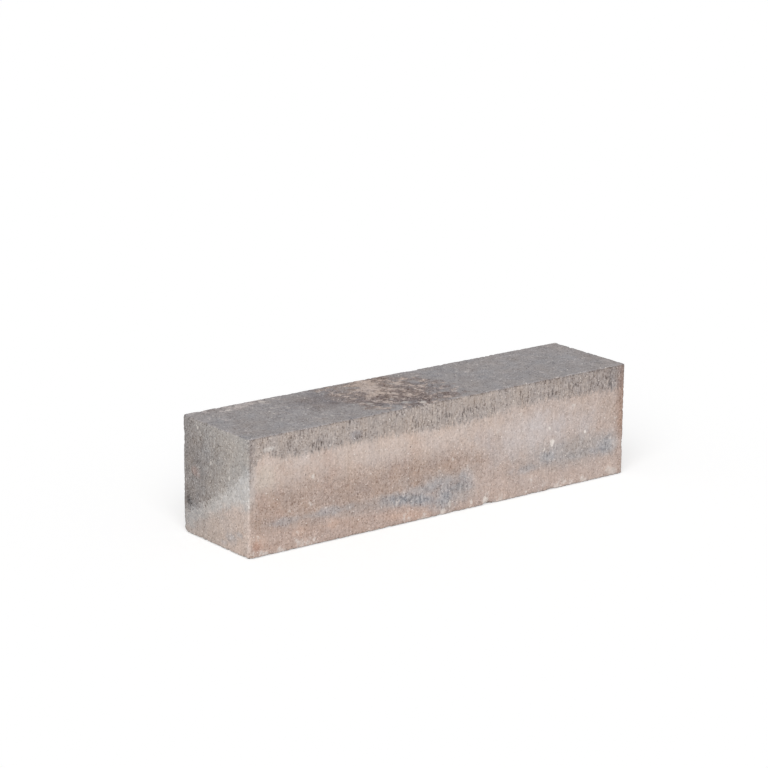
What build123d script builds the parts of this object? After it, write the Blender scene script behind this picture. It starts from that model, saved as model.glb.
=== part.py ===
from build123d import *
import os

# A solid concrete wall block, pressed in one piece and lying on its bed face.
# X runs along the length, Y from the front face to the back face, and Z up.
# The origin is the middle of the bed face. All sizes are in millimetres.

# Overall size of the block.
LENGTH = 600.0
DEPTH = 140.0
HEIGHT = 150.0

# Rounding of the edges as the block leaves its mould.
UPRIGHT_EDGE_RADIUS = 3.0
TOP_EDGE_RADIUS = 2.0
BED_EDGE_RADIUS = 1.5

# The two bed corners at the left end are knocked off. Each break runs this far
# along both bed edges, and this far up the block.
FRONT_BREAK_ALONG = 6.0
FRONT_BREAK_UP = 10.0
BACK_BREAK_ALONG = 7.0
BACK_BREAK_UP = 7.0

# Sides of the block along Y.
FRONT = -1
BACK = 1


def moulded_block():
    """The block as moulded: a rounded rectangle raised to its height, with the two rims softened."""
    outline = RectangleRounded(LENGTH, DEPTH, UPRIGHT_EDGE_RADIUS)
    block = extrude(outline, HEIGHT)
    top_face = block.faces().sort_by(Axis.Z)[-1]
    block = fillet(top_face.edges(), TOP_EDGE_RADIUS)
    bed_face = block.faces().sort_by(Axis.Z)[0]
    return fillet(bed_face.edges(), BED_EDGE_RADIUS)


def break_plane(side, along, up):
    """The slanted plane of a broken bed corner at the left end, facing out of the block."""
    corner = Vector(-LENGTH / 2, side * DEPTH / 2, 0)
    end_on_length = corner + Vector(along, 0, 0)
    end_on_depth = corner + Vector(0, -side * along, 0)
    outward = Vector(-up, side * up, -along)
    return Plane(origin=end_on_length, x_dir=end_on_depth - end_on_length, z_dir=outward)


def without_corner(block, side, along, up):
    """The block with the material outside one broken corner's plane taken away."""
    return split(block, bisect_by=break_plane(side, along, up), keep=Keep.BOTTOM)


wall_block = moulded_block()
wall_block = without_corner(wall_block, FRONT, FRONT_BREAK_ALONG, FRONT_BREAK_UP)
wall_block = without_corner(wall_block, BACK, BACK_BREAK_ALONG, BACK_BREAK_UP)
wall_block.label = "wall_block"

os.makedirs("parts", exist_ok=True)
export_step(wall_block, "parts/wall_block.step")
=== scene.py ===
# %% [markdown]
# A pressed concrete wall block
#
# This lesson dresses one solid garden wall block. The block is a single pressing of concrete in which
# several coloured mixes ran together, so it has no parts to fit: all of its look is in its edges, its
# skin and its clouds of colour. We load the measured solid first, because everything hangs on its box.

# %% Load the measured block
import math

import bpy
from mathutils import Matrix, Vector


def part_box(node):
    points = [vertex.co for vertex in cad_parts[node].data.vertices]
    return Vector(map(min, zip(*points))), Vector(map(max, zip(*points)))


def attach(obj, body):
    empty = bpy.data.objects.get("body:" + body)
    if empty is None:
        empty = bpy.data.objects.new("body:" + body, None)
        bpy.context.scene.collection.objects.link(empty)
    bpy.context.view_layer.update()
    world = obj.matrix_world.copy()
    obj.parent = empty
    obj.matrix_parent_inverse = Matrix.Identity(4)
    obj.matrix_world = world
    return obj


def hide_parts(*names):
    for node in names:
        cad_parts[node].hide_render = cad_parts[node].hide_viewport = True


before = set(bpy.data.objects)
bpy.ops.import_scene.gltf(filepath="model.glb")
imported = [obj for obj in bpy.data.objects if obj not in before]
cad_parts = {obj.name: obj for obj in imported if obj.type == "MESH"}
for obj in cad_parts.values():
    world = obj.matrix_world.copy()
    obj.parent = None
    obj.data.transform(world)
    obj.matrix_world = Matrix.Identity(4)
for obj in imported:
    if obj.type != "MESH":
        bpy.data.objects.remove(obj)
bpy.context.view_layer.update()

MM = 0.001

low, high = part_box("wall_block")
size = high - low
centre = (low + high) / 2
print("block is", [round(side / MM, 1) for side in size], "mm")

# %% [markdown]
# The camera
#
# The photograph was taken from the left, a little above, through a long lens. A long lens keeps the
# block's edges almost parallel, so the same lens is used from the same place. The tiny roll repeats a
# tilt that the photograph has too.

# %% Place the camera
CAMERA_PLACE = Vector((-2.1304, -2.6974, 1.0870))
CAMERA_HEADING = math.radians(37.72)
CAMERA_DIP = math.radians(15.18)
CAMERA_ROLL = math.radians(0.42)
LENS_MM = 132.5
SENSOR_MM = 36.0

camera_data = bpy.data.cameras.new("camera")
camera_data.lens = LENS_MM
camera_data.sensor_width = SENSOR_MM
camera = bpy.data.objects.new("camera", camera_data)
bpy.context.scene.collection.objects.link(camera)
camera.matrix_world = (
    Matrix.Translation(CAMERA_PLACE)
    @ Matrix.Rotation(-CAMERA_HEADING, 4, "Z")
    @ Matrix.Rotation(math.pi / 2 - CAMERA_DIP, 4, "X")
    @ Matrix.Rotation(CAMERA_ROLL, 4, "Z")
)
bpy.context.scene.camera = camera
print("camera stands", round((CAMERA_PLACE - centre).length, 2), "m away")

# %% [markdown]
# First node helpers
#
# A finish is a chain of small nodes. Each helper adds one or two of them and hands back the socket that
# carries their result. A value may be a plain number or the socket of an earlier node, so the finishes
# further down read like recipes.


# %% Write the first node helpers
def srgb(red, green, blue):
    """A colour as a screen shows it, from 0 to 255, turned into the linear colour of a shader."""
    shares = [channel / 255 for channel in (red, green, blue)]
    linear = [s / 12.92 if s <= 0.04045 else ((s + 0.055) / 1.055) ** 2.4 for s in shares]
    return (*linear, 1.0)


def feed(tree, socket, value):
    """Links a socket to an earlier node, or sets it to a plain value."""
    if isinstance(value, bpy.types.NodeSocket):
        tree.links.new(value, socket)
    else:
        socket.default_value = value


def maths(tree, operation, first, second):
    node = tree.nodes.new("ShaderNodeMath")
    node.operation = operation
    feed(tree, node.inputs[0], first)
    feed(tree, node.inputs[1], second)
    return node.outputs[0]


def add(tree, first, second):
    return maths(tree, "ADD", first, second)


def subtract(tree, first, second):
    return maths(tree, "SUBTRACT", first, second)


def multiply(tree, first, second):
    return maths(tree, "MULTIPLY", first, second)


def between(tree, mask, least, most):
    """Turns a mask into a value that is least where the mask is 0 and most where it is 1."""
    return add(tree, multiply(tree, mask, most - least), least)


print("half grey on a screen is", round(srgb(128, 128, 128)[0], 3), "of white in linear light")

# %% [markdown]
# The floor
#
# The photograph is a cut-out on white. A large sheet of white paper gives the same ground, throws light
# back up at the block and catches a faint shadow, so that the block stands on something. Part of what
# the camera sees of the paper is a plain white glow, which keeps the ground white and the shadow soft.

# %% Lay the floor
FLOOR_WIDTH = 60.0
FLOOR_GAP = 0.2 * MM
FLOOR_GLOW_SHARE = 0.3
FLOOR_GLOW = 1.52
PAPER_WHITE = srgb(243, 243, 243)


def seen_directly(tree):
    """1 for rays that show a surface to the camera, also in a mirror or through glass, and else 0."""
    path = tree.nodes.new("ShaderNodeLightPath")
    seen = maths(tree, "MAXIMUM", path.outputs["Is Camera Ray"], path.outputs["Is Glossy Ray"])
    return maths(tree, "MAXIMUM", seen, path.outputs["Is Transmission Ray"])


bpy.ops.object.select_all(action="DESELECT")
bpy.ops.mesh.primitive_plane_add(size=FLOOR_WIDTH, location=(0, 0, -FLOOR_GAP))
floor = bpy.context.active_object
floor.name = "floor"

paper = bpy.data.materials.new("white_paper")
paper.use_nodes = True
tree = paper.node_tree
tree.nodes.clear()
matt = tree.nodes.new("ShaderNodeBsdfDiffuse")
matt.inputs["Color"].default_value = PAPER_WHITE
glow = tree.nodes.new("ShaderNodeEmission")
glow.inputs["Strength"].default_value = FLOOR_GLOW
mixer = tree.nodes.new("ShaderNodeMixShader")
feed(tree, mixer.inputs[0], multiply(tree, seen_directly(tree), FLOOR_GLOW_SHARE))
tree.links.new(matt.outputs[0], mixer.inputs[1])
tree.links.new(glow.outputs[0], mixer.inputs[2])
output = tree.nodes.new("ShaderNodeOutputMaterial")
tree.links.new(mixer.outputs[0], output.inputs["Surface"])
floor.data.materials.append(paper)
print("floor is", FLOOR_WIDTH, "m wide")

# %% [markdown]
# The light
#
# The block is lit so evenly that none of its faces lies in the dark. A lamp close by would brighten one
# end more than the other, so we take a sun, from the left and the front. It is spread wide, which makes
# its shadow soft, and an even sky fills the rest. The camera sees the sky as plain white.

# %% Hang the lights
SUN_STRENGTH = 2.3
SUN_SPREAD = math.radians(50)
SUN_TOWARDS = Vector((0.50, 0.58, -0.64))
SKY_STRENGTH = 0.5
SKY_SEEN_STRENGTH = 1.0

sun_data = bpy.data.lights.new("softbox", "SUN")
sun_data.energy = SUN_STRENGTH
sun_data.angle = SUN_SPREAD
sun = bpy.data.objects.new("softbox", sun_data)
sun.rotation_euler = SUN_TOWARDS.to_track_quat("-Z", "Y").to_euler()
bpy.context.scene.collection.objects.link(sun)

world = bpy.data.worlds.new("studio")
world.use_nodes = True
tree = world.node_tree
tree.nodes.clear()
sky = tree.nodes.new("ShaderNodeBackground")
sky_strength = between(tree, seen_directly(tree), SKY_STRENGTH, SKY_SEEN_STRENGTH)
feed(tree, sky.inputs["Strength"], sky_strength)
output = tree.nodes.new("ShaderNodeOutputWorld")
tree.links.new(sky.outputs[0], output.inputs["Surface"])
bpy.context.scene.world = world
bpy.context.scene.view_settings.view_transform = "Standard"
print("sun of", SUN_STRENGTH, "and sky of", SKY_STRENGTH, "are up")

# %% [markdown]
# The blank
#
# Out of the mould the block is an oblong with softened edges: the upright ones roundest, then the top
# rim that the stamp presses, then the bed rim that stands on the board. We start from a cube at the
# block's own size and bevel the three kinds of edge one after the other, because one bevel over all of
# them could have only one radius.

# %% Model the blank
UPRIGHT_EDGE = 3.0 * MM
TOP_EDGE = 2.0 * MM
BED_EDGE = 1.5 * MM
NEAR = 0.01 * MM

bpy.ops.object.select_all(action="DESELECT")
bpy.ops.mesh.primitive_cube_add(size=1, location=centre, scale=size)
block = bpy.context.active_object
block.name = "pressed_block"
bpy.ops.object.transform_apply(location=True, rotation=True, scale=True)


def choose_edges(wanted):
    """Selects the edges for which wanted(start, end) holds, ends in edit mode and counts them."""
    bpy.ops.object.mode_set(mode="EDIT")
    bpy.ops.mesh.select_mode(type="EDGE")
    bpy.ops.mesh.select_all(action="DESELECT")
    bpy.ops.object.mode_set(mode="OBJECT")
    corners = block.data.vertices
    chosen = 0
    for edge in block.data.edges:
        start, end = (corners[i].co for i in edge.vertices)
        edge.select = wanted(start, end)
        chosen += edge.select
    bpy.ops.object.mode_set(mode="EDIT")
    return chosen


def is_upright(start, end):
    return (start - end).xy.length < NEAR


def is_top_rim(start, end):
    return min(start.z, end.z) > high.z - NEAR


def is_bed_rim(start, end):
    return max(start.z, end.z) < low.z + NEAR


# Which edges are rounded, to which radius and in how many steps.
ROUNDINGS = (
    (is_upright, UPRIGHT_EDGE, 4),
    (is_top_rim, TOP_EDGE, 3),
    (is_bed_rim, BED_EDGE, 3),
)
for wanted, radius, steps in ROUNDINGS:
    count = choose_edges(wanted)
    bpy.ops.mesh.bevel(offset=radius, offset_type="OFFSET", segments=steps, profile=0.5, affect="EDGES")
    print("rounded", count, "edges to", round(radius / MM, 1), "mm")

# %% [markdown]
# Two broken corners
#
# Two bed corners at the left end were knocked off after the block left its mould. Each break is close
# to a flat, slanted plane, so a bisect takes the corner away and fills the cut. A Boolean would do the
# same, but it needs a cutter to be modelled first.

# %% Knock off the corners
FRONT_BREAK_ALONG = 6.0 * MM
FRONT_BREAK_UP = 10.0 * MM
BACK_BREAK_ALONG = 7.0 * MM
BACK_BREAK_UP = 7.0 * MM
BREAKS = (
    (low.y, FRONT_BREAK_ALONG, FRONT_BREAK_UP),
    (high.y, BACK_BREAK_ALONG, BACK_BREAK_UP),
)

# The block is still in edit mode from the bevels.
for corner_y, run, climb in BREAKS:
    outward = Vector((-climb, math.copysign(climb, corner_y), -run)).normalized()
    start = (low.x + run, corner_y, low.z)
    bpy.ops.mesh.select_all(action="SELECT")
    bpy.ops.mesh.bisect(
        plane_co=start, plane_no=outward, use_fill=True, clear_outer=True, threshold=NEAR
    )
bpy.ops.object.mode_set(mode="OBJECT")
print("blank has", len(block.data.polygons), "faces")

# %% [markdown]
# A skin fine enough to wear
#
# Chips and pits need many small faces, and they need them evenly all round the edges. Subdividing the
# bevelled cube would leave long slivers, so a voxel remesh lays an even net of little squares over it.
# The net is thinned again at the end, where it has stayed flat.

# %% Remesh the blank
NET_WIDTH = 1.25 * MM


def apply_modifier(kind, name, **settings):
    """Adds a modifier to the block, sets it up and applies it, as the Apply button does."""
    modifier = block.modifiers.new(name, kind)
    for setting, value in settings.items():
        setattr(modifier, setting, value)
    bpy.context.view_layer.objects.active = block
    bpy.ops.object.modifier_apply(modifier=name)


apply_modifier("REMESH", "net", mode="VOXEL", voxel_size=NET_WIDTH, use_smooth_shade=True)
print("net has", len(block.data.vertices), "points")

# %% [markdown]
# Where the block wears
#
# The edges crumble, most of all along the bed, the four sides carry drag lines, and one crumb broke out
# of the front bed edge. A vertex group holds a weight for every point, so it can tell a modifier where
# to bite and how hard. The weights follow from where a point lies in the box, so nothing is painted by
# hand.

# %% Weigh where each kind of wear may bite
GROUP_STEPS = 12
EDGE_REACH = 5.0 * MM
PLAIN_REACH = 1.5 * MM
NOTCH_AT = Vector((low.x + 370 * MM, low.y, low.z))
NOTCH_REACH = Vector((7.0, 5.0, 4.5)) * MM
NOTCH_MIDDLE = 1.3


def weigh(name, weight_at):
    """Makes a vertex group of the weights that weight_at gives for each point, in a few even steps."""
    group = block.vertex_groups.new(name=name)
    bins = [[] for _ in range(GROUP_STEPS + 1)]
    for vertex in block.data.vertices:
        weight = min(1.0, max(0.0, weight_at(vertex.co)))
        bins[round(GROUP_STEPS * weight)].append(vertex.index)
    for step, members in enumerate(bins):
        if step and members:
            group.add(members, step / GROUP_STEPS, "REPLACE")


def depths(point):
    """How far a point lies inside the box from its nearest side along X, Y and Z."""
    return [min(p - a, b - p) for p, a, b in zip(point, low, high)]


def edge_weight(point):
    """1 on an edge of the block and 0 where the second nearest side is EDGE_REACH away."""
    second = sorted(depths(point))[1]
    return 1 - second / EDGE_REACH


def bed_edge_weight(point):
    return edge_weight(point) if point.z - low.z < EDGE_REACH else 0.0


def side_weight(point):
    """1 on the four upright sides and 0 on the top and the bed."""
    return depths(point)[2] / PLAIN_REACH


def notch_weight(point):
    """Above 0 close to the spot where a crumb broke out of the front bed edge."""
    offset = point - NOTCH_AT
    return NOTCH_MIDDLE - math.sqrt(sum((o / r) ** 2 for o, r in zip(offset, NOTCH_REACH)))


weigh("edges", edge_weight)
weigh("bed_edges", bed_edge_weight)
weigh("sides", side_weight)
weigh("notch", notch_weight)
print("weighed", len(block.vertex_groups), "groups")

# %% [markdown]
# Relief
#
# The sides scraped along the steel as the mould was lifted, so they carry fine upright drag lines. The
# whole skin is a little uneven, small pits open where the mix was dry, and chips are gone from the
# edges. Each of these is a Displace modifier with a cloud texture of its own width. They only take
# material away, so the block never grows out of its measured box.


# %% Press the relief in
def cloud_texture(name, width, ramp=None, octaves=2):
    """A cloud texture with lumps of a width in metres. The ramp's two ends turn it from 0 to 1."""
    texture = bpy.data.textures.new(name, "CLOUDS")
    texture.noise_scale = width
    texture.noise_depth = octaves
    texture.noise_basis = "BLENDER_ORIGINAL"
    if ramp:
        texture.use_color_ramp = True
        start, end = texture.color_ramp.elements
        start.position, end.position = ramp
        start.color = (0, 0, 0, 1)
        end.color = (1, 1, 1, 1)
    return texture


def press(name, texture, depth, group="", drawn_out=None):
    """Sinks the skin by up to depth where the texture is bright. Drawn_out pulls the texture along Z."""
    settings = {"texture": texture, "strength": -depth, "mid_level": 0.0, "vertex_group": group}
    guide = None
    if drawn_out:
        guide = bpy.data.objects.new("guide", None)
        guide.scale = (1, 1, drawn_out)
        bpy.context.scene.collection.objects.link(guide)
        bpy.context.view_layer.update()
        settings["texture_coords"] = "OBJECT"
        settings["texture_coords_object"] = guide
    apply_modifier("DISPLACE", name, **settings)
    if guide:
        bpy.data.objects.remove(guide)


uneven = cloud_texture("uneven", width=70 * MM)
drag = cloud_texture("drag", width=2.6 * MM)
lumps = cloud_texture("lumps", width=7 * MM)
pits = cloud_texture("pits", width=3.2 * MM, ramp=(0.68, 0.80), octaves=0)
crumble = cloud_texture("crumble", width=4 * MM, ramp=(0.45, 0.8))
chips = cloud_texture("chips", width=11 * MM, ramp=(0.60, 0.72))
bed_crumble = cloud_texture("bed_crumble", width=3.4 * MM, ramp=(0.45, 0.7))

press("uneven_skin", uneven, depth=0.35 * MM)
press("drag_lines", drag, depth=0.2 * MM, group="sides", drawn_out=12)
press("lumps", lumps, depth=0.2 * MM)
press("pits", pits, depth=0.7 * MM)
press("edge_crumble", crumble, depth=0.7 * MM, group="edges")
press("edge_chips", chips, depth=1.6 * MM, group="edges")
press("bed_crumble", bed_crumble, depth=1.1 * MM, group="bed_edges")
press("bed_notch", None, depth=3.5 * MM, group="notch")
print("relief pressed into", len(block.data.vertices), "points")

# %% [markdown]
# Thinning the net
#
# Most of the net lies on nearly flat skin. Decimate merges the small squares there and keeps them at
# the chips and edges, so the piece stays light enough to share.

# %% Thin the net
MOST_TRIANGLES = 190000


def count_triangles():
    return sum(len(face.vertices) - 2 for face in block.data.polygons)


triangles = count_triangles()
apply_modifier("DECIMATE", "thin", ratio=min(1.0, MOST_TRIANGLES / triangles))
block.vertex_groups.clear()
bpy.ops.object.select_all(action="DESELECT")
block.select_set(True)
bpy.ops.object.shade_smooth()
print("thinned", triangles, "triangles to", count_triangles())

# %% [markdown]
# Helpers for the concrete
#
# The finish is made of nodes alone: soft steps, values that waver with a noise, and groups that are used
# again and again. A painted image would have to be unwrapped and would blur close up. Nodes can be read
# at any point of the block, so the colour runs round the edges, as it does in a block cast in one piece.


# %% Write the helpers for the concrete
def vector_maths(tree, operation, first, second=(0, 0, 0)):
    node = tree.nodes.new("ShaderNodeVectorMath")
    node.operation = operation
    feed(tree, node.inputs[0], first)
    feed(tree, node.inputs[1], second)
    return node.outputs["Value" if operation == "LENGTH" else "Vector"]


def rise(tree, value, start, end):
    """0 before start and 1 after end, with a soft curve between. Start may lie above end."""
    node = tree.nodes.new("ShaderNodeMapRange")
    node.interpolation_type = "SMOOTHSTEP"
    feed(tree, node.inputs["Value"], value)
    feed(tree, node.inputs["From Min"], start)
    feed(tree, node.inputs["From Max"], end)
    return node.outputs["Result"]


def swing(tree, pattern, width):
    """Turns a pattern around 0.5 into a swing around 0 that is about this wide."""
    return multiply(tree, subtract(tree, pattern, 0.5), width)


def waver(tree, value, pattern, width):
    """A value that a pattern around 0.5 pushes up and down over about this width."""
    return add(tree, value, swing(tree, pattern, width))


def new_group(name, vectors, numbers):
    """An empty node group with vector and number inputs and a mask as its output."""
    group = bpy.data.node_groups.new(name, "ShaderNodeTree")
    for label in vectors:
        group.interface.new_socket(label, in_out="INPUT", socket_type="NodeSocketVector")
    for label in numbers:
        group.interface.new_socket(label, in_out="INPUT", socket_type="NodeSocketFloat")
    group.interface.new_socket("Mask", in_out="OUTPUT", socket_type="NodeSocketFloat")
    start = group.nodes.new("NodeGroupInput")
    end = group.nodes.new("NodeGroupOutput")
    return group, start.outputs, end.inputs[0]


print("helpers for steps, wavering values and groups are written")

# %% [markdown]
# A group for clouds of colour
#
# The mixes ran together inside the mould, so each shows as a soft, ragged lump. A lump has a place, a
# reach along each axis and a slant. Its mask falls from 1 inside to 0 outside, and a noise pushes the
# border in and out. The lump is used dozens of times, so it is made once as a node group.

# %% Build the cloud group
cloud_group, given, mask_out = new_group(
    "colour_cloud",
    vectors=("Place", "Centre", "Reach"),
    numbers=("Fray", "Slant", "Ragged", "Softness"),
)
offset = vector_maths(cloud_group, "SUBTRACT", given["Place"], given["Centre"])
turn = cloud_group.nodes.new("ShaderNodeVectorRotate")
turn.rotation_type = "Y_AXIS"
feed(cloud_group, turn.inputs["Vector"], offset)
feed(cloud_group, turn.inputs["Angle"], given["Slant"])
shares = vector_maths(cloud_group, "DIVIDE", turn.outputs[0], given["Reach"])
distance = vector_maths(cloud_group, "LENGTH", shares)
distance = waver(cloud_group, distance, given["Fray"], given["Ragged"])
inner = subtract(cloud_group, 1.0, given["Softness"])
feed(cloud_group, mask_out, rise(cloud_group, distance, 1.0, inner))
print("group", cloud_group.name, "has", len(cloud_group.nodes), "nodes")

# %% [markdown]
# A group for spots
#
# Grains of lime and open pores are small round spots with nothing regular about them. A Voronoi texture
# scatters points without a grid that shows. The colour of each cell is used as a dice throw: it decides
# whether the cell gets a spot, and how large the spot is.

# %% Build the spot group
SMALLEST_SPOT = 0.5
SPOT_CORE = 0.45


def split(tree, vector):
    node = tree.nodes.new("ShaderNodeSeparateXYZ")
    feed(tree, node.inputs[0], vector)
    return node.outputs[0], node.outputs[1], node.outputs[2]


def cells(tree, place, spacing):
    """A Voronoi node: every cell is about as wide as spacing, in millimetres, and has its own colour."""
    node = tree.nodes.new("ShaderNodeTexVoronoi")
    feed(tree, node.inputs["Vector"], place)
    node.inputs["Scale"].default_value = 1 / spacing
    return node


spot_group, given, mask_out = new_group(
    "spots",
    vectors=("Place",),
    numbers=("Spacing", "Radius", "Share"),
)
shrunk = spot_group.nodes.new("ShaderNodeVectorMath")
shrunk.operation = "SCALE"
feed(spot_group, shrunk.inputs[0], given["Place"])
feed(spot_group, shrunk.inputs["Scale"], maths(spot_group, "DIVIDE", 1.0, given["Spacing"]))
cell = cells(spot_group, shrunk.outputs[0], 1.0)
chance, bulk, _ = split(spot_group, cell.outputs["Color"])
radius = multiply(spot_group, given["Radius"], add(spot_group, bulk, SMALLEST_SPOT))
from_middle = multiply(spot_group, cell.outputs["Distance"], given["Spacing"])
spot = rise(spot_group, from_middle, radius, multiply(spot_group, radius, SPOT_CORE))
picked = maths(spot_group, "LESS_THAN", chance, given["Share"])
feed(spot_group, mask_out, multiply(spot_group, spot, picked))
print("group", spot_group.name, "has", len(spot_group.nodes), "nodes")

# %% [markdown]
# Finding our way
#
# The colour lives in the volume of the block and only shows on its faces. So the finish reads the
# block's own coordinates, in millimetres, and turns them into distances that are easy to think in: along
# from the left end, down from the top, forward from the back. Each face takes over from its neighbour
# within the rounding of the edge between them.

# %% Read the place on the block
TOP_TURN = (1.8, 0.6)
BED_TURN = (2.4, 0.9)
END_TURN = (4.0, 0.8)


def stretch(tree, place, scale):
    """Places squeezed by a scale along each axis, so that a pattern read from them is drawn out."""
    return vector_maths(tree, "MULTIPLY", place, scale)


concrete = bpy.data.materials.new("nuanced_concrete")
concrete.use_nodes = True
tree = concrete.node_tree
shader = tree.nodes["Principled BSDF"]
coordinates = tree.nodes.new("ShaderNodeTexCoord")
place = stretch(tree, coordinates.outputs["Object"], (1 / MM,) * 3)
x, y, z = split(tree, place)

LEFT, RIGHT = low.x / MM, high.x / MM
FRONT, BACK = low.y / MM, high.y / MM
BED, TOP = low.z / MM, high.z / MM
LENGTH = RIGHT - LEFT
along = subtract(tree, x, LEFT)
from_back = subtract(tree, BACK, y)
drop = subtract(tree, TOP, z)
on_top = rise(tree, drop, *TOP_TURN)
on_bed = rise(tree, subtract(tree, z, BED), *BED_TURN)
on_left_end = rise(tree, along, *END_TURN)
print("faces lie at", [round(side, 1) for side in (LEFT, RIGHT, FRONT, BACK, BED, TOP)], "mm")

# %% [markdown]
# Grain
#
# Close up the skin is sand: grains of a millimetre or so, most of them close to the paste, a few much
# lighter or darker. Voronoi cells give every grain its own shade, and the cube of the shade lets only a
# few stand out. Wider noises clot the sand, and noises drawn out along Z give the upright streaks where
# the mould slid past. They are kept as plain values, because the colours, the borders and the bump all
# use them.

# %% Make the grain and the streaks
GRAIN_WIDTH = 1.3


def noise(tree, place, grain, detail=2.0, roughness=0.5):
    """Cloudy noise around 0.5, whose lumps are about as wide as grain, in millimetres."""
    node = tree.nodes.new("ShaderNodeTexNoise")
    feed(tree, node.inputs["Vector"], place)
    node.inputs["Scale"].default_value = 1 / grain
    node.inputs["Detail"].default_value = detail
    node.inputs["Roughness"].default_value = roughness
    return node.outputs["Fac"]


sway = noise(tree, place, grain=85.0)
drift = noise(tree, place, grain=34.0, detail=3.0, roughness=0.6)
clots = noise(tree, place, grain=16.0, detail=3.0, roughness=0.6)
fray = noise(tree, stretch(tree, place, (1.0, 1.0, 0.6)), grain=26.0, detail=5.0, roughness=0.68)
sand = noise(tree, stretch(tree, place, (1.0, 1.0, 0.7)), grain=6.0, detail=3.0, roughness=0.8)
blotch = noise(tree, stretch(tree, place, (1.0, 0.6, 1.0)), grain=7.0, detail=3.0, roughness=0.65)
long_streak = noise(tree, stretch(tree, place, (1.0, 1.0, 0.07)), grain=2.6, detail=3.0, roughness=0.7)
short_streak = noise(tree, stretch(tree, place, (1.0, 1.0, 0.3)), grain=2.6, detail=2.0, roughness=0.6)
grains = cells(tree, stretch(tree, place, (1.0, 1.0, 0.8)), GRAIN_WIDTH)
grain_shade, grain_tint, _ = split(tree, grains.outputs["Color"])
grit = maths(tree, "POWER", swing(tree, grain_shade, 2.0), 3.0)
print("grains are about", GRAIN_WIDTH, "mm wide")

# %% [markdown]
# Placing the clouds
#
# Every cloud was placed from the photograph, so its place is given as it would be measured there:
# on the front by the distance from the left end and the drop from the top. A cloud also reaches a little
# into the block, so that it bends round an edge. Most of them lie on the front, and the end and the top
# get helpers of the same kind when their turn comes.

# %% Write the helpers that place a cloud
FRONT_CLOUD_DEPTH = 45.0


def place_group(tree, group, values):
    """Puts a group into a material with its own values and hands back its mask."""
    node = tree.nodes.new("ShaderNodeGroup")
    node.node_tree = group
    for label, value in values.items():
        feed(tree, node.inputs[label], value)
    return node.outputs[0]


def cloud(middle, reach, slant=0.0, ragged=1.6, softness=0.7, strength=1.0, torn_by=fray):
    """The mask of a lump of colour. Slant, in degrees, lifts its right-hand end on the front."""
    mask = place_group(tree, cloud_group, {
        "Place": place,
        "Fray": torn_by,
        "Centre": middle,
        "Reach": reach,
        "Slant": math.radians(slant),
        "Ragged": ragged,
        "Softness": softness,
    })
    return multiply(tree, mask, strength)


def on_front(along_mm, drop_mm):
    """A point on the front face, given by its distance from the left end and from the top."""
    return (LEFT + along_mm, FRONT, TOP - drop_mm)


def front_cloud(middle, reach, **shape):
    return cloud(on_front(*middle), (reach[0], FRONT_CLOUD_DEPTH, reach[1]), **shape)


print("clouds can be placed on a front of", round(LENGTH), "by", round(TOP - BED), "mm")

# %% [markdown]
# The body
#
# Away from the top the mix is warm: pale beige just under the grey cap, browner at mid height, pinkish
# at the foot. These three run level along the block, so they follow the drop from the top edge, and a
# slow sway keeps their borders from being ruled lines. To the right it all turns a calmer beige.

# %% Colour the body
PALE_BEIGE = srgb(200, 184, 175)
BROWN = srgb(174, 155, 145)
FOOT_PINK = srgb(182, 162, 152)
RUSTY = srgb(184, 157, 143)
CALM_BEIGE = srgb(187, 171, 163)
# Drops from the top over which one colour gives way to the next.
PALE_TO_BROWN = (44.0, 86.0)
BROWN_TO_PINK = (104.0, 130.0)
# How far the sway and the clots move those borders.
LEVEL_SWAY = 30.0
LEVEL_CLOTS = 18.0
# Distances from the left end over which the calm beige comes in, and how far they sway.
CALM_FROM_TO = (290.0, 450.0)
CALM_SWAY = 120.0
CALM_STRENGTH = 0.75
RUSTY_FROM_TO = (0.50, 0.70)
RUSTY_STRENGTH = 0.4


def blend(tree, mask, under, over):
    """Lays one colour over another where the mask says."""
    node = tree.nodes.new("ShaderNodeMix")
    node.data_type = "RGBA"
    feed(tree, node.inputs[0], mask)
    feed(tree, node.inputs[6], under)
    feed(tree, node.inputs[7], over)
    return node.outputs[2]


def lay(under, layers):
    """Lays layers, each a mask and a colour, over a colour, the first one lowest."""
    for mask, colour in layers:
        under = blend(tree, mask, under, colour)
    return under


level = waver(tree, drop, sway, LEVEL_SWAY)
level = waver(tree, level, clots, LEVEL_CLOTS)
warmth = noise(tree, place, grain=40.0, detail=4.0, roughness=0.65)
rusty = rise(tree, warmth, *RUSTY_FROM_TO)
calm = rise(tree, waver(tree, along, sway, CALM_SWAY), *CALM_FROM_TO)
body_layers = (
    (rise(tree, level, *PALE_TO_BROWN), BROWN),
    (rise(tree, level, *BROWN_TO_PINK), FOOT_PINK),
    (multiply(tree, rusty, RUSTY_STRENGTH), RUSTY),
    (multiply(tree, calm, CALM_STRENGTH), CALM_BEIGE),
)
body = lay(PALE_BEIGE, body_layers)
print("body mixed from", len(body_layers) + 1, "colours")

# %% [markdown]
# Clouds on the front
#
# A pale, lilac-grey cloud fills the right half of the front, and the brown is deeper in some places than
# in others. The two upright edges were rubbed by the mould and have a colour of their own: lilac on the
# left, brown on the right. The brown on the right is partly its own reddish colour and partly painted
# shade.

# %% Lay the clouds
LILAC = srgb(196, 185, 181)
DEEP_BROWN = srgb(167, 148, 137)
CREAM = srgb(199, 186, 175)
EDGE_LILAC = srgb(190, 179, 173)
EDGE_BROWN_AND_SHADE = srgb(165, 140, 127)
# Distances from the left end over which an upright edge takes its colour, and how far they waver.
LEFT_ARRIS_FROM_TO = (15.0, 4.0)
LEFT_ARRIS_CLOTS = 10.0
RIGHT_ARRIS_FROM_TO = (LENGTH - 20.0, LENGTH - 3.0)
RIGHT_ARRIS_CLOTS = 12.0
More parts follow.
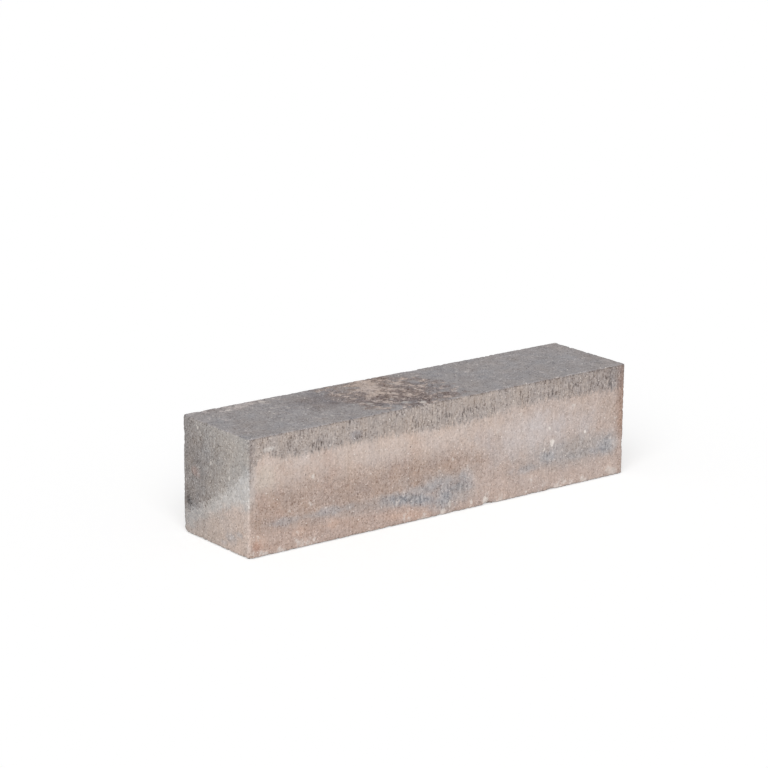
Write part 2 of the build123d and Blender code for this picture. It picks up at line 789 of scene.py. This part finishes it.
# Drops from the top over which these colours come in from below.
EDGE_LILAC_FROM_TO = (100.0, 70.0)
EDGE_BROWN_FROM_TO = (120.0, 84.0)
EDGE_BROWN_LEAST = 0.3

left_arris = rise(tree, waver(tree, along, clots, LEFT_ARRIS_CLOTS), *LEFT_ARRIS_FROM_TO)
# The brown right edge is partly its own reddish colour and partly painted shade.
right_arris = rise(tree, waver(tree, along, clots, RIGHT_ARRIS_CLOTS), *RIGHT_ARRIS_FROM_TO)
lilac_fade = rise(tree, drop, *EDGE_LILAC_FROM_TO)
brown_fade = between(tree, rise(tree, level, *EDGE_BROWN_FROM_TO), EDGE_BROWN_LEAST, 1.0)
front_layers = (
    (front_cloud((445, 70), (142, 44), slant=-3, softness=0.9), LILAC),
    (front_cloud((255, 87), (150, 20), softness=0.9, strength=0.5), DEEP_BROWN),
    (front_cloud((24, 52), (24, 26), strength=0.7), CREAM),
    (front_cloud((582, 50), (34, 30), softness=0.9, strength=0.4), DEEP_BROWN),
    (multiply(tree, left_arris, lilac_fade), EDGE_LILAC),
    (multiply(tree, right_arris, brown_fade), EDGE_BROWN_AND_SHADE),
)
body = lay(body, front_layers)
print("front has", len(front_layers), "layers")

# %% [markdown]
# Grey smears
#
# Streams of the grey mix show as blue-grey smears low on the front, in a haze of the same grey. They were
# dragged when the mould came up, so short upright strokes and blotches break them up. The strokes also
# decide where a smear is light and where it is dark, and two of the smears have a darker core.

# %% Smear the grey mix over the front
HAZE_GREY = srgb(168, 162, 160)
SMEAR_LIGHT = srgb(178, 175, 176)
SMEAR_DARK = srgb(134, 133, 136)
# Middle, reach, slant and strength of each smear, then of each core.
SMEAR_PLACES = (
    ((247, 120), (78, 15), -10, 1.0),
    ((266, 112), (66, 14), 0, 0.7),
    ((316, 117), (44, 20), 0, 1.0),
    ((302, 127), (40, 27), 0, 0.95),
    ((50, 111), (34, 9), 0, 0.55),
    ((116, 111), (60, 9), 0, 0.55),
    ((470, 105), (30, 13), 0, 0.75),
    ((436, 114), (42, 10), 0, 0.6),
    ((530, 110), (60, 10), 0, 0.5),
    ((571, 107), (22, 20), 0, 0.85),
)
SMEAR_CORES = (
    ((235, 118), (52, 9), -9, 0.05),
    ((323, 117), (22, 11), 0, 0.08),
)
# How hard the strokes break a smear, and the values over which it shows and turns light.
STROKE_BREAK = 1.4
SMEAR_FROM_TO = (-0.25, 0.5)
LIGHT_FROM_TO = (0.36, 0.60)


def strongest(masks):
    """The strongest of several masks at each place."""
    most = 0.0
    for mask in masks:
        most = maths(tree, "MAXIMUM", most, mask)
    return most


smears = strongest(
    front_cloud(middle, reach, slant=slant, ragged=1.3, softness=0.9, strength=strength)
    for middle, reach, slant, strength in SMEAR_PLACES
)
cores = strongest(
    front_cloud(middle, reach, slant=slant, softness=0.9, strength=strength)
    for middle, reach, slant, strength in SMEAR_CORES
)
strokes = multiply(tree, add(tree, short_streak, blotch), 0.5)
dragged = rise(tree, waver(tree, smears, strokes, STROKE_BREAK), *SMEAR_FROM_TO)
lightness = rise(tree, subtract(tree, strokes, cores), *LIGHT_FROM_TO)
smear_colour = blend(tree, lightness, SMEAR_DARK, SMEAR_LIGHT)
smear_layers = (
    (front_cloud((505, 103), (118, 29), ragged=0.7, softness=0.8, strength=0.8), HAZE_GREY),
    (front_cloud((170, 116), (150, 15), ragged=0.9, softness=0.9, strength=0.4), HAZE_GREY),
    (front_cloud((298, 102), (70, 17), ragged=0.9, softness=0.9, strength=0.4), HAZE_GREY),
    (front_cloud((324, 127), (38, 21), ragged=0.9, softness=0.9, strength=0.7), HAZE_GREY),
    (multiply(tree, smears, dragged), smear_colour),
    (front_cloud((306, 105), (54, 10), ragged=2.0, softness=0.9, strength=0.45), SMEAR_LIGHT),
    (front_cloud((350, 116), (32, 42), softness=0.9, strength=0.25), LILAC),
    (front_cloud((330, 136), (18, 13), softness=0.9, strength=0.35), SMEAR_LIGHT),
    (front_cloud((231, 96), (24, 15), softness=0.9, strength=0.3), HAZE_GREY),
)
body = lay(body, smear_layers)
print("grey smeared in", len(SMEAR_PLACES), "places")

# %% [markdown]
# The foot
#
# Along the bed the mix is dry. It is a little orange there, pale crumbs of it show in ragged spots, and
# the left corner has a touch of rust red. The crumbs come from the same clots and sand as the grain, so
# they look like part of the skin and not like paint.

# %% Crumble the foot
CRUMB_PALE = srgb(206, 197, 191)
RUST_RED = srgb(158, 112, 92)
FOOT_ORANGE = srgb(201, 171, 154)
# Drops from the top over which the foot gets drier, by how much, and when its clots crumble.
FOOT_FROM_TO = (132.0, 149.0)
FOOT_DRYNESS = 0.16
CRUMB_SAND = 0.6
CRUMB_FROM_TO = (0.67, 0.77)
CRUMB_STRENGTH = 0.7

foot = rise(tree, drop, *FOOT_FROM_TO)
dry = add(tree, clots, multiply(tree, foot, FOOT_DRYNESS))
crumbled = rise(tree, waver(tree, dry, sand, CRUMB_SAND), *CRUMB_FROM_TO)
foot_layers = (
    (front_cloud((236, 139), (62, 9), slant=-8, softness=0.9, strength=0.5), FOOT_ORANGE),
    (front_cloud((15, 132), (15, 14), softness=0.9, strength=0.35), FOOT_ORANGE),
    (front_cloud((78, 128), (18, 9), ragged=2.2, softness=0.9, strength=0.4), FOOT_ORANGE),
    (front_cloud((130, 128), (16, 9), ragged=2.2, softness=0.9, strength=0.4), FOOT_ORANGE),
    (multiply(tree, crumbled, CRUMB_STRENGTH), CRUMB_PALE),
    (front_cloud((585, 104), (9, 7), ragged=1.4, strength=0.35), CRUMB_PALE),
    (front_cloud((584, 144), (11, 8), ragged=1.4, strength=0.7), CRUMB_PALE),
    (front_cloud((11, 138), (11, 10), ragged=2.4, strength=0.45), RUST_RED),
)
body = lay(body, foot_layers)
print("foot has", len(foot_layers), "layers")

# %% [markdown]
# The border of the grey cap
#
# The stamp pressed a grey, finer mix into the top of the block, so a grey band about three centimetres
# deep runs round under the top edge. Its lower border is frayed into upright strokes. It sags where
# dark dashes crowd together, and in a few places it hangs lower or higher than elsewhere.

# %% Find the cap's border
CAP_DEPTH = 31.5
CLUSTER_SAG = 3.0
ARRIS_SAG = 6.0
# How far the clots and the strokes move the border, and how soft it is.
CAP_CLOTS = 7.0
CAP_STROKES = 22.0
CAP_BORDER = (5.0, -5.0)
# Middle, reach and sag of the places where the border hangs lower, or higher if the sag is below 0.
CAP_SAGS = (
    ((28, 28), (24, 16), -8.0),
    ((316, 32), (90, 40), 4.0),
    ((434, 32), (70, 40), -3.8),
)
DASH_CLUSTERS = (
    ((70, 30), (9, 7)),
    ((104, 23), (8, 13)),
    ((162, 24), (15, 10)),
    ((250, 24), (36, 16)),
    ((338, 20), (22, 15)),
    ((574, 18), (20, 15)),
)

crowding = strongest(
    front_cloud(middle, reach, ragged=1.4, softness=0.9) for middle, reach in DASH_CLUSTERS
)
cap_depth = between(tree, crowding, CAP_DEPTH, CAP_DEPTH + CLUSTER_SAG)
cap_depth = waver(tree, cap_depth, clots, CAP_CLOTS)
for middle, reach, sag in CAP_SAGS:
    cap_depth = add(tree, cap_depth, front_cloud(middle, reach, strength=sag))
cap_depth = add(tree, cap_depth, multiply(tree, left_arris, ARRIS_SAG))
below_cap = subtract(tree, waver(tree, drop, short_streak, CAP_STROKES), cap_depth)
cap = rise(tree, below_cap, *CAP_BORDER)
print("cap is about", CAP_DEPTH, "mm deep")

# %% [markdown]
# The colours of the cap
#
# The cap is a warm grey that gets dimmer to the right. Light streaks and dark dashes stand in it side by
# side, most of the dashes well inside its border; the dashes are partly darker cement and partly painted
# shade in open pores. A dark rim follows the top edge, partly the slate grey of the top and partly
# painted shade, and a faint painted shadow darkens the cap under the top edge towards the right. There
# is one blue spot and one smear of chalk.

# %% Colour the cap
CAP_GREY = srgb(171, 160, 154)
CAP_DIM = srgb(158, 148, 144)
CAP_EDGE = srgb(152, 142, 138)
CAP_BROWN_AND_SHADE = srgb(146, 125, 116)
CAP_LIGHT = srgb(194, 182, 173)
CAP_DASH_AND_PORE_SHADE = srgb(108, 99, 95)
CAP_BLUE = srgb(152, 148, 151)
CAP_CHALK = srgb(212, 204, 198)
# Dark grey for the top rim and for the line beside the left end's edges, partly their own tone and partly
# painted shade; it also paints the shadow under the top edge.
DARK_TONE_AND_SHADE = srgb(116, 108, 106)
# Distances from the left end over which the cap dims, and how far they sway.
DIM_FROM_TO = (380.0, 590.0)
DIM_SWAY = 160.0
# Values of the streaks over which a light one, a dark dash and the rim show.
STREAK_FROM_TO = (0.52, 0.66)
DASH_FROM_TO = (0.41, 0.29)
RIM_BREAKUP_FROM_TO = (0.60, 0.38)
# How strongly they and the painted shadow under the top edge show.
STREAK_STRENGTH = 0.5
DASH_LEAST = 0.25
DASH_MOST = 0.75
RIM_LEAST = 0.3
RIM_MOST = 0.7
TOP_EDGE_SHADOW_STRENGTH = 0.2
# Distances from the border over which the dashes get stronger, and what thickens them.
DASH_INSIDE_FROM_TO = (0.0, -11.0)
DASH_THICKENING = 0.5
CLUSTER_PULL = 0.09
# Drops from the top over which the dark rim and the painted shadow under the top edge show.
RIM_FROM_TO = (4.0, 1.5)
TOP_EDGE_SHADOW_FROM_TO = (18.0, 3.0)

dimming = rise(tree, waver(tree, along, sway, DIM_SWAY), *DIM_FROM_TO)
light_streaks = multiply(tree, rise(tree, short_streak, *STREAK_FROM_TO), STREAK_STRENGTH)
thick = noise(tree, place, grain=24.0, detail=2.0, roughness=0.6)
crowded = waver(tree, short_streak, thick, DASH_THICKENING)
crowded = subtract(tree, crowded, multiply(tree, crowding, CLUSTER_PULL))
inside_cap = rise(tree, below_cap, *DASH_INSIDE_FROM_TO)
inside_cap = between(tree, inside_cap, DASH_LEAST, DASH_MOST)
# The dark dashes are partly darker cement and partly painted shade in open pores.
dashes = multiply(tree, rise(tree, crowded, *DASH_FROM_TO), inside_cap)
# The dark rim along the top edge is partly the slate grey of the top and partly painted shade.
rim_breakup = between(tree, rise(tree, short_streak, *RIM_BREAKUP_FROM_TO), RIM_LEAST, RIM_MOST)
rim_tone_and_shade = multiply(tree, rise(tree, drop, *RIM_FROM_TO), rim_breakup)
# Painted shadow: the cap darkens under the top edge towards the right.
top_edge_shadow = multiply(tree, rise(tree, drop, *TOP_EDGE_SHADOW_FROM_TO), dimming)
top_edge_shadow = multiply(tree, top_edge_shadow, TOP_EDGE_SHADOW_STRENGTH)
# In the cap too, the brown of the right edge is partly its own colour and partly painted shade.
cap_layers = (
    (dimming, CAP_DIM),
    (left_arris, CAP_EDGE),
    (right_arris, CAP_BROWN_AND_SHADE),
    (light_streaks, CAP_LIGHT),
    (front_cloud((160, 22), (14, 8), ragged=2.0, strength=0.6), CAP_BLUE),
    (dashes, CAP_DASH_AND_PORE_SHADE),
    (front_cloud((30, 17), (13, 4), ragged=3.0, strength=0.7), CAP_CHALK),
    (add(tree, rim_tone_and_shade, top_edge_shadow), DARK_TONE_AND_SHADE),
)
cap_colour = lay(CAP_GREY, cap_layers)
side_colour = blend(tree, cap, body, cap_colour)
print("cap mixed from", len(cap_layers) + 1, "colours")

# %% [markdown]
# The left end
#
# On the end the grey mix poured in at a slant. Above the slant the end is dark and speckled, then comes
# a pale, lime-grey band, and below it the pinkish body. The border bends down towards the back, and all
# three get lighter towards the front.

# %% Colour the left end
END_DARK = srgb(142, 136, 133)
END_GREY = srgb(174, 168, 163)
END_PALE = srgb(194, 190, 187)
END_PALE_BACK = srgb(172, 167, 164)
END_PINK = srgb(195, 179, 170)
END_PINK_BACK = srgb(177, 164, 156)
# Drop of the dark mix's border at the back, and how fast it climbs towards the front.
BORDER_DROP = 124.0
BORDER_CLIMB = 0.38
BORDER_BEND = 0.0016
# The same for the border of the pink body, which levels out.
PINK_DROP = 138.0
PINK_CLIMB = 0.46
PINK_HIGHEST = 87.0
# How far the noises and the grain move the borders, and how soft the borders are.
BORDER_TEAR = 26.0
BORDER_GRAIN = 7.0
PALE_BORDER = (-9.0, 9.0)
PINK_BORDER = (-9.0, 13.0)
# Distances from the back over which each band gets lighter.
DARK_FROM_TO = (15.0, 140.0)
PALE_FROM_TO = (15.0, 110.0)
PINK_FROM_TO = (40.0, 130.0)
# The dark band is lighter again under the top edge, away from the back.
CROWN_DROP_FROM_TO = (38.0, 6.0)
CROWN_BACK_FROM_TO = (5.0, 45.0)
CROWN_STRENGTH = 0.45


def torn(distance):
    """A distance from a border, torn by two ragged noises."""
    return waver(tree, waver(tree, distance, fray, BORDER_TEAR), blotch, BORDER_TEAR)


climb = add(tree, multiply(tree, from_back, BORDER_BEND), BORDER_CLIMB)
border = subtract(tree, BORDER_DROP, multiply(tree, from_back, climb))
into_pale = waver(tree, torn(subtract(tree, drop, border)), grain_shade, BORDER_GRAIN)
pink_border = subtract(tree, PINK_DROP, multiply(tree, from_back, PINK_CLIMB))
pink_border = maths(tree, "MAXIMUM", pink_border, PINK_HIGHEST)
into_pink = torn(subtract(tree, drop, pink_border))

crown = multiply(
    tree, rise(tree, drop, *CROWN_DROP_FROM_TO), rise(tree, from_back, *CROWN_BACK_FROM_TO)
)
end_dark = blend(tree, rise(tree, from_back, *DARK_FROM_TO), END_DARK, END_GREY)
end_dark = blend(tree, multiply(tree, crown, CROWN_STRENGTH), end_dark, END_GREY)
end_pale = blend(tree, rise(tree, from_back, *PALE_FROM_TO), END_PALE_BACK, END_PALE)
end_pink = blend(tree, rise(tree, from_back, *PINK_FROM_TO), END_PINK_BACK, END_PINK)
end_lower = blend(tree, rise(tree, into_pink, *PINK_BORDER), end_pale, end_pink)
end_colour = blend(tree, rise(tree, into_pale, *PALE_BORDER), end_dark, end_lower)
print("end poured in 3 bands, its border at", BORDER_DROP, "mm at the back")

# %% [markdown]
# Stains on the end
#
# A black stain in a shady patch sits where the dark mix ends at the back, a rosy spot above it, and a
# smudge of the grey mix low down towards the front. A darker line runs beside the upright edges of this
# end, partly their own darker colour and partly painted shade on the rounded edges. They are single
# marks, so each is laid one by one.

# %% Stain the left end
END_STAIN = srgb(98, 93, 91)
END_ROSY = srgb(176, 148, 139)
END_CLOUD_DEPTH = 20.0
SMUDGE_PLACES = (
    ((86, 141), (12, 7)),
    ((103, 131), (18, 10)),
    ((121, 124), (13, 6)),
)
# Distances from the left end over which the darker line of colour and painted shade starts and ends, and
# drops over which it fades.
EDGE_LINE_STARTS = (0.2, 1.4)
EDGE_LINE_ENDS = (5.5, 2.8)
EDGE_LINE_FADES = (78.0, 40.0)
EDGE_LINE_STRENGTH = 0.3


def on_end(from_back_mm, drop_mm):
    """A point on the left end, given by its distance from the back and from the top."""
    return (LEFT, BACK - from_back_mm, TOP - drop_mm)


def end_cloud(middle, reach, **shape):
    return cloud(on_end(*middle), (END_CLOUD_DEPTH, *reach), **shape)


smudge = strongest(
    end_cloud(middle, reach, ragged=2.0, softness=1.0, strength=0.65)
    for middle, reach in SMUDGE_PLACES
)
end_layers = (
    (end_cloud((24, 67), (17, 9), ragged=3.0, softness=1.0, strength=0.4), END_ROSY),
    (end_cloud((9, 102), (20, 18), softness=0.9, strength=0.25), END_STAIN),
    (end_cloud((12, 106), (7, 8), ragged=2.0, strength=0.75), END_STAIN),
    (end_cloud((8, 131), (24, 13), strength=0.5), END_PALE_BACK),
    (smudge, smear_colour),
)
end_colour = lay(end_colour, end_layers)
# A darker line beside the edges: partly their own colour, partly painted shade on the rounded edges.
edge_line_tone_and_shade = multiply(tree, rise(tree, along, *EDGE_LINE_STARTS), rise(tree, along, *EDGE_LINE_ENDS))
edge_line_tone_and_shade = multiply(tree, edge_line_tone_and_shade, rise(tree, drop, *EDGE_LINE_FADES))
side_colour = lay(side_colour, (
    (on_left_end, end_colour),
    (multiply(tree, edge_line_tone_and_shade, EDGE_LINE_STRENGTH), DARK_TONE_AND_SHADE),
))
print("end has", len(end_layers), "stains")

# %% [markdown]
# The top
#
# The stamp leaves the top smooth and slate grey. Towards the middle the warm mix came through in
# clotted beige patches with darker paste between them. The back edge is warmer too, and crumbs lie
# along it. The bed is never seen, so it is plain grey.

# %% Colour the top and the bed
TOP_GREY = srgb(157, 152, 152)
TOP_DARK = srgb(133, 126, 126)
TOP_UMBER = srgb(127, 115, 112)
TOP_TAN = srgb(152, 138, 131)
TOP_WARM = srgb(159, 150, 147)
TOP_BEIGE = srgb(188, 172, 163)
TOP_PALE = srgb(188, 179, 176)
BED_GREY = srgb(166, 156, 149)
TOP_CLOUD_DEPTH = 30.0
# How much more of the lumps shows in the patch and at the back edge, and over which values.
PATCH_CLOTTING = 0.12
CLOTTED_FROM_TO = (0.51, 0.63)
CLOTTED_UMBER_FROM_TO = (0.1, 0.6)
BACK_CRUMBLING = 0.16
CRUMBS_FROM_TO = (0.60, 0.68)
TAN_STRENGTH = 0.5
WARM_STRENGTH = 0.7
CRUMBS_STRENGTH = 0.85


def on_top_face(along_mm, from_back_mm):
    """A point on the top, given by its distance from the left end and from the back."""
    return (LEFT + along_mm, BACK - from_back_mm, TOP)


def top_cloud(middle, reach, **shape):
    return cloud(on_top_face(*middle), (*reach, TOP_CLOUD_DEPTH), **shape)


lump = noise(tree, place, grain=12.0, detail=5.0, roughness=0.72)
umber = top_cloud((268, 78), (90, 105), ragged=2.4, softness=0.6)
patch = strongest((
    top_cloud((258, 40), (84, 66), ragged=1.2, softness=0.9),
    top_cloud((286, 84), (20, 22), strength=0.8),
))
clotted = rise(tree, add(tree, lump, multiply(tree, patch, PATCH_CLOTTING)), *CLOTTED_FROM_TO)
clotted = multiply(tree, clotted, rise(tree, umber, *CLOTTED_UMBER_FROM_TO))
back_edge = top_cloud((76, 4), (85, 32), softness=0.9)
crumbs = rise(tree, add(tree, lump, multiply(tree, back_edge, BACK_CRUMBLING)), *CRUMBS_FROM_TO)
top_layers = (
    (top_cloud((186, 50), (84, 66), softness=0.9), TOP_DARK),
    (umber, TOP_UMBER),
    (multiply(tree, patch, TAN_STRENGTH), TOP_TAN),
    (clotted, TOP_BEIGE),
    (top_cloud((278, 36), (11, 11), ragged=1.2, strength=0.75), TOP_UMBER),
    (top_cloud((236, 81), (16, 10), ragged=1.2, strength=0.75), TOP_UMBER),
    (top_cloud((206, 80), (22, 12), ragged=1.2, strength=0.75), TOP_UMBER),
    (multiply(tree, back_edge, WARM_STRENGTH), TOP_WARM),
    (multiply(tree, crumbs, CRUMBS_STRENGTH), TOP_PALE),
)
top_colour = lay(TOP_GREY, top_layers)
colour = lay(side_colour, ((on_top, top_colour), (on_bed, BED_GREY)))
print("top has", len(top_layers), "layers")

# %% [markdown]
# Speckle
#
# Every patch is speckled by its sand, and the dark mixes more than the pale ones. The speckle is partly
# multiplied with the colour and partly added to it: multiplied alone it would vanish in the dark
# mixes, added alone it would drown them. A small swing between warm and cool keeps the grey alive.

# %% Speckle the colour
GRIT_CONTRAST = 0.15
SAND_CONTRAST = 0.10
STREAK_CONTRAST = 0.16
CLOT_CONTRAST = 0.12
BLOTCH_CONTRAST = 0.14
LUMP_CONTRAST = 0.19
TINT_CONTRAST = 0.011
DRIFT_CONTRAST = 0.05
# Brightness over which a mix turns from pale to dark, and how coarse its speckle is.
PALE_TO_DARK = (0.50, 0.32)
PALE_COARSENESS = 0.62
DARK_COARSENESS = 1.0
END_COARSENESS = 0.3
UMBER_COARSENESS = 0.5
SPECKLE_MULTIPLIED = 1.4
SPECKLE_ADDED = 0.5

brightness = tree.nodes.new("ShaderNodeRGBToBW")
feed(tree, brightness.inputs[0], colour)
darkness = rise(tree, brightness.outputs[0], *PALE_TO_DARK)
coarse = between(tree, darkness, PALE_COARSENESS, DARK_COARSENESS)
coarse = add(tree, coarse, multiply(tree, on_left_end, END_COARSENESS))
coarse = add(tree, coarse, multiply(tree, multiply(tree, on_top, umber), UMBER_COARSENESS))
speckle = waver(tree, multiply(tree, grit, GRIT_CONTRAST), sand, SAND_CONTRAST)
speckle = multiply(tree, speckle, coarse)
speckle = waver(tree, speckle, long_streak, STREAK_CONTRAST)
speckle = waver(tree, speckle, clots, CLOT_CONTRAST)
speckle = add(tree, speckle, multiply(tree, swing(tree, blotch, BLOTCH_CONTRAST), on_left_end))
speckle = add(tree, speckle, multiply(tree, swing(tree, lump, LUMP_CONTRAST), on_top))
tint = waver(tree, swing(tree, grain_tint, TINT_CONTRAST), drift, DRIFT_CONTRAST)

tinted = tree.nodes.new("ShaderNodeCombineXYZ")
feed(tree, tinted.inputs["X"], add(tree, speckle, tint))
feed(tree, tinted.inputs["Y"], speckle)
feed(tree, tinted.inputs["Z"], subtract(tree, speckle, tint))
answer = stretch(tree, colour, (SPECKLE_MULTIPLIED,) * 3)
answer = vector_maths(tree, "ADD", answer, (SPECKLE_ADDED,) * 3)
colour = vector_maths(tree, "ADD", colour, vector_maths(tree, "MULTIPLY", tinted.outputs[0], answer))
print("concrete has", len(tree.nodes), "nodes so far")

# %% [markdown]
# Lime and pores
#
# White grains of lime stand out all over, and here and there a pore is open, darkened with painted shade.
# Both are scattered by the spot group. A few flecks are large enough to be known by their place, so they
# are laid one by one, and the sand tears their borders.

# %% Scatter lime and pores
LIME_WHITE = srgb(228, 221, 214)
PORE_SHADE = srgb(104, 92, 86)
LIME_SHOWS = 0.9
LIME_SHOWS_ON_END = 0.4
PORE_SHOWS = 0.6
FLECK_HEIGHT = 1.3
# Place, radius and strength of each fleck.
FLECKS = (
    (on_front(476, 86), 4.6, 0.85),
    (on_front(95, 63), 3.4, 0.6),
    (on_front(366, 144), 6.0, 0.75),
    (on_front(297, 146), 5.0, 0.55),
    (on_front(308, 137), 3.5, 0.45),
    (on_front(343, 142), 2.6, 0.6),
    (on_front(471, 66), 2.4, 0.8),
    (on_front(532, 81), 2.0, 0.8),
    (on_front(463, 94), 2.0, 0.7),
    (on_end(33, 10), 2.0, 0.7),
    (on_end(38, 15), 1.8, 0.5),
    (on_end(60, 48), 2.2, 0.6),
    (on_end(100, 57), 2.6, 0.6),
    (on_top_face(213, 98), 4.5, 0.45),
    (on_top_face(247, 97), 4.5, 0.45),
    (on_top_face(252, 117), 5.0, 0.45),
    (on_top_face(271, 131), 6.0, 0.5),
    (on_top_face(54, 20), 4.5, 0.4),
    (on_top_face(110, 12), 5.0, 0.4),
    (on_top_face(104, 43), 4.0, 0.35),
    (on_top_face(120, 54), 3.5, 0.3),
    (on_top_face(143, 114), 4.0, 0.3),
)


def spots(spacing, radius, share):
    """Small round spots in a share of the cells of a scattered grid."""
    values = {"Place": place, "Spacing": spacing, "Radius": radius, "Share": share}
    return place_group(tree, spot_group, values)


lime = spots(spacing=6.0, radius=1.1, share=0.35)
lime = multiply(tree, lime, between(tree, on_left_end, LIME_SHOWS, LIME_SHOWS_ON_END))
# The dark of each pore is painted shade in its hollow.
pores = spots(spacing=7.0, radius=0.9, share=0.2)
colour = lay(colour, ((lime, LIME_WHITE), (multiply(tree, pores, PORE_SHOWS), PORE_SHADE)))
for middle, radius, strength in FLECKS:
    reach = (radius, radius, radius * FLECK_HEIGHT)
    fleck = cloud(middle, reach, ragged=2.4, softness=0.5, strength=strength, torn_by=sand)
    colour = blend(tree, fleck, colour, LIME_WHITE)
tree.links.new(colour, shader.inputs["Base Color"])
print("laid", len(FLECKS), "flecks by hand")

# %% [markdown]
# Roughness and bump
#
# Dry concrete is matt all over. The bump repeats the sand, the streaks and the pores that are too small
# for the mesh.

# %% Roughen the skin
SAND_HEIGHT = 0.35
GRAIN_HEIGHT = 0.10
STREAK_HEIGHT = 0.12
PORE_DEPTH = 0.5
SMOOTHEST = 0.82
ROUGHEST = 0.96
SHINE = 0.25

height = multiply(tree, sand, SAND_HEIGHT)
height = add(tree, height, multiply(tree, grit, GRAIN_HEIGHT))
height = add(tree, height, multiply(tree, long_streak, STREAK_HEIGHT))
height = subtract(tree, height, multiply(tree, pores, PORE_DEPTH))
bump = tree.nodes.new("ShaderNodeBump")
bump.inputs["Distance"].default_value = MM
feed(tree, bump.inputs["Height"], height)
tree.links.new(bump.outputs["Normal"], shader.inputs["Normal"])
feed(tree, shader.inputs["Roughness"], between(tree, sand, SMOOTHEST, ROUGHEST))
shader.inputs["Specular IOR Level"].default_value = SHINE
block.data.materials.append(concrete)
print("concrete has", len(tree.nodes), "nodes")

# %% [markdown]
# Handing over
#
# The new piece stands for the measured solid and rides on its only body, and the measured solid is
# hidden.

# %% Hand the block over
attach(block, "root")
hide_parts("wall_block")
